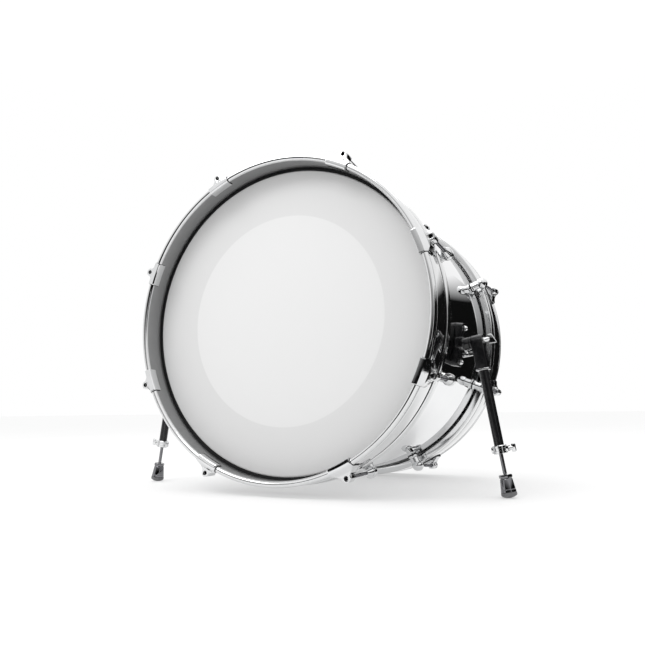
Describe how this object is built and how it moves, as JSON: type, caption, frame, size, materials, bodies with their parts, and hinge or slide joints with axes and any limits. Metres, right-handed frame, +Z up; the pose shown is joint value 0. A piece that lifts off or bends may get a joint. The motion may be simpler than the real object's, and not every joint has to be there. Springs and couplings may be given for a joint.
{
  "type": "bass drum",
  "caption": "Cylindrical bass drum with two heads in flanged metal hoops, held by claws and tension rods, on two folding spurs and its rear hoop.",
  "frame": {"origin": "on the floor, under the middle of the object's bounding box", "axes": "-Y is the way the front head faces, +Y is towards the player, +Z is up, and +X is to the right of someone looking at the front head along +Y"},
  "size_m": [0.7658, 0.5203, 0.6068],
  "materials": {
    "shell_wrap": "wood shell in a mirror chrome wrap",
    "hoop_metal": "polished",
    "coated_film": "satin white coating",
    "flesh_hoop_metal": "plain",
    "chrome": "chrome plate",
    "black_enamel": "gloss black",
    "foot_rubber": "satin"
  },
  "bodies": {
    "drum": {"shell": "shell_wrap", "front_hoop": "hoop_metal", "front_head": "coated_film", "front_flesh_hoop": "flesh_hoop_metal", "rear_hoop": "hoop_metal", "rear_head": "coated_film", "rear_flesh_hoop": "flesh_hoop_metal", "overtone_ring": "coated_film", "front_claw_1": "chrome", "front_claw_2": "chrome", "front_claw_3": "chrome", "front_claw_4": "chrome", "front_claw_5": "chrome", "front_claw_6": "chrome", "front_claw_7": "chrome", "front_claw_8": "chrome", "rear_claw_1": "chrome", "rear_claw_2": "chrome", "rear_claw_3": "chrome", "rear_claw_4": "chrome", "rear_claw_5": "chrome", "rear_claw_6": "chrome", "rear_claw_7": "chrome", "rear_claw_8": "chrome", "right_spur_bracket": "black_enamel", "left_spur_bracket": "black_enamel"},
    "front_tension_rod_1": {"front_tension_rod_1": "chrome"},
    "front_tension_rod_2": {"front_tension_rod_2": "chrome"},
    "front_tension_rod_3": {"front_tension_rod_3": "chrome"},
    "front_tension_rod_4": {"front_tension_rod_4": "chrome"},
    "front_tension_rod_5": {"front_tension_rod_5": "chrome"},
    "front_tension_rod_6": {"front_tension_rod_6": "chrome"},
    "front_tension_rod_7": {"front_tension_rod_7": "chrome"},
    "front_tension_rod_8": {"front_tension_rod_8": "chrome"},
    "rear_tension_rod_1": {"rear_tension_rod_1": "chrome"},
    "rear_tension_rod_2": {"rear_tension_rod_2": "chrome"},
    "rear_tension_rod_3": {"rear_tension_rod_3": "chrome"},
    "rear_tension_rod_4": {"rear_tension_rod_4": "chrome"},
    "rear_tension_rod_5": {"rear_tension_rod_5": "chrome"},
    "rear_tension_rod_6": {"rear_tension_rod_6": "chrome"},
    "rear_tension_rod_7": {"rear_tension_rod_7": "chrome"},
    "rear_tension_rod_8": {"rear_tension_rod_8": "chrome"},
    "right_leg": {"right_leg_holder": "black_enamel", "right_leg_tube": "black_enamel", "right_clamp_collar": "chrome"},
    "right_leg_rod": {"right_leg_rod": "chrome"},
    "right_pivot_wing_bolt": {"right_pivot_wing_bolt": "chrome"},
    "right_lock_wing_screw": {"right_lock_wing_screw": "chrome"},
    "right_clamp_wing_screw": {"right_clamp_wing_screw": "chrome"},
    "right_foot_nut": {"right_foot_nut": "chrome"},
    "right_foot": {"right_foot": "foot_rubber"},
    "left_leg": {"left_leg_holder": "black_enamel", "left_leg_tube": "black_enamel", "left_clamp_collar": "chrome"},
    "left_leg_rod": {"left_leg_rod": "chrome"},
    "left_pivot_wing_bolt": {"left_pivot_wing_bolt": "chrome"},
    "left_lock_wing_screw": {"left_lock_wing_screw": "chrome"},
    "left_clamp_wing_screw": {"left_clamp_wing_screw": "chrome"},
    "left_foot_nut": {"left_foot_nut": "chrome"},
    "left_foot": {"left_foot": "foot_rubber"}
  },
  "joints": [
    {"name": "front_tension_rod_1_turn", "type": "hinge", "parent": "drum", "child": "front_tension_rod_1", "pos_m": [0.1326, -0.23075, 0.58918], "axis": [-0.0195, 0.9971, -0.074], "continuous": true},
    {"name": "front_tension_rod_2_turn", "type": "hinge", "parent": "drum", "child": "front_tension_rod_2", "pos_m": [0.28793, -0.23634, 0.42065], "axis": [-0.0424, 0.9979, -0.0492], "continuous": true},
    {"name": "front_tension_rod_3_turn", "type": "hinge", "parent": "drum", "child": "front_tension_rod_3", "pos_m": [0.28597, -0.24376, 0.19702], "axis": [-0.0421, 0.999, -0.0163], "continuous": true},
    {"name": "front_tension_rod_4_turn", "type": "hinge", "parent": "drum", "child": "front_tension_rod_4", "pos_m": [0.13887, -0.24908, 0.03658], "axis": [-0.0205, 0.9998, 0.0073], "continuous": true},
    {"name": "front_tension_rod_5_turn", "type": "hinge", "parent": "drum", "child": "front_tension_rod_5", "pos_m": [-0.13887, -0.24908, 0.03658], "axis": [0.0205, 0.9998, 0.0073], "continuous": true},
    {"name": "front_tension_rod_6_turn", "type": "hinge", "parent": "drum", "child": "front_tension_rod_6", "pos_m": [-0.28597, -0.24376, 0.19702], "axis": [0.0421, 0.999, -0.0163], "continuous": true},
    {"name": "front_tension_rod_7_turn", "type": "hinge", "parent": "drum", "child": "front_tension_rod_7", "pos_m": [-0.28793, -0.23634, 0.42065], "axis": [0.0424, 0.9979, -0.0492], "continuous": true},
    {"name": "front_tension_rod_8_turn", "type": "hinge", "parent": "drum", "child": "front_tension_rod_8", "pos_m": [-0.1326, -0.23075, 0.58918], "axis": [0.0195, 0.9971, -0.074], "continuous": true},
    {"name": "rear_tension_rod_1_turn", "type": "hinge", "parent": "drum", "child": "rear_tension_rod_1", "pos_m": [0.1326, 0.24918, 0.57326], "axis": [-0.0195, -0.9998, -0.0078], "continuous": true},
    {"name": "rear_tension_rod_2_turn", "type": "hinge", "parent": "drum", "child": "rear_tension_rod_2", "pos_m": [0.28793, 0.24359, 0.40473], "axis": [-0.0424, -0.999, 0.017], "continuous": true},
    {"name": "rear_tension_rod_3_turn", "type": "hinge", "parent": "drum", "child": "rear_tension_rod_3", "pos_m": [0.28597, 0.23618, 0.1811], "axis": [-0.0421, -0.9979, 0.05], "continuous": true},
    {"name": "rear_tension_rod_4_turn", "type": "hinge", "parent": "drum", "child": "rear_tension_rod_4", "pos_m": [0.13887, 0.23085, 0.02065], "axis": [-0.0205, -0.9971, 0.0736], "continuous": true},
    {"name": "rear_tension_rod_5_turn", "type": "hinge", "parent": "drum", "child": "rear_tension_rod_5", "pos_m": [-0.13887, 0.23085, 0.02065], "axis": [0.0205, -0.9971, 0.0736], "continuous": true},
    {"name": "rear_tension_rod_6_turn", "type": "hinge", "parent": "drum", "child": "rear_tension_rod_6", "pos_m": [-0.28597, 0.23618, 0.1811], "axis": [0.0421, -0.9979, 0.05], "continuous": true},
    {"name": "rear_tension_rod_7_turn", "type": "hinge", "parent": "drum", "child": "rear_tension_rod_7", "pos_m": [-0.28793, 0.24359, 0.40473], "axis": [0.0424, -0.999, 0.017], "continuous": true},
    {"name": "rear_tension_rod_8_turn", "type": "hinge", "parent": "drum", "child": "rear_tension_rod_8", "pos_m": [-0.1326, 0.24918, 0.57326], "axis": [0.0195, -0.9998, -0.0078], "continuous": true},
    {"name": "right_leg_fold", "type": "hinge", "parent": "drum", "child": "right_leg", "pos_m": [0.32589, -0.10589, 0.26082], "axis": [0.9869, 0, 0.1616], "range_deg": [0, 90]},
    {"name": "right_pivot_wing_bolt_turn", "type": "hinge", "parent": "drum", "child": "right_pivot_wing_bolt", "pos_m": [0.32589, -0.10589, 0.26082], "axis": [0.9869, 0, 0.1616], "continuous": true},
    {"name": "right_lock_wing_screw_turn", "type": "hinge", "parent": "drum", "child": "right_lock_wing_screw", "pos_m": [0.30614, -0.10589, 0.2515], "axis": [-0.1616, 0, 0.9869], "continuous": true},
    {"name": "right_leg_length", "type": "slide", "parent": "right_leg", "child": "right_leg_rod", "axis": [-0.1616, 0, 0.9869], "range_m": [-0.08, 0.03]},
    {"name": "right_clamp_wing_screw_turn", "type": "hinge", "parent": "right_leg", "child": "right_clamp_wing_screw", "pos_m": [0.35579, -0.10589, 0.07825], "axis": [0.9869, 0, 0.1616], "continuous": true},
    {"name": "right_foot_nut_turn", "type": "hinge", "parent": "right_leg_rod", "child": "right_foot_nut", "pos_m": [0.36856, -0.10589, 0.00029], "axis": [-0.1616, 0, 0.9869], "continuous": true},
    {"name": "right_foot_turn", "type": "hinge", "parent": "right_leg_rod", "child": "right_foot", "pos_m": [0.36856, -0.10589, 0.00029], "axis": [-0.1616, 0, 0.9869], "continuous": true},
    {"name": "left_leg_fold", "type": "hinge", "parent": "drum", "child": "left_leg", "pos_m": [-0.32589, -0.10589, 0.26082], "axis": [0.9869, 0, -0.1616], "range_deg": [0, 90]},
    {"name": "left_pivot_wing_bolt_turn", "type": "hinge", "parent": "drum", "child": "left_pivot_wing_bolt", "pos_m": [-0.32589, -0.10589, 0.26082], "axis": [0.9869, 0, -0.1616], "continuous": true},
    {"name": "left_lock_wing_screw_turn", "type": "hinge", "parent": "drum", "child": "left_lock_wing_screw", "pos_m": [-0.30614, -0.10589, 0.2515], "axis": [0.1616, 0, 0.9869], "continuous": true},
    {"name": "left_leg_length", "type": "slide", "parent": "left_leg", "child": "left_leg_rod", "axis": [0.1616, 0, 0.9869], "range_m": [-0.08, 0.03]},
    {"name": "left_clamp_wing_screw_turn", "type": "hinge", "parent": "left_leg", "child": "left_clamp_wing_screw", "pos_m": [-0.35579, -0.10589, 0.07825], "axis": [0.9869, 0, -0.1616], "continuous": true},
    {"name": "left_foot_nut_turn", "type": "hinge", "parent": "left_leg_rod", "child": "left_foot_nut", "pos_m": [-0.36856, -0.10589, 0.00029], "axis": [0.1616, 0, 0.9869], "continuous": true},
    {"name": "left_foot_turn", "type": "hinge", "parent": "left_leg_rod", "child": "left_foot", "pos_m": [-0.36856, -0.10589, 0.00029], "axis": [0.1616, 0, 0.9869], "continuous": true}
  ]
}
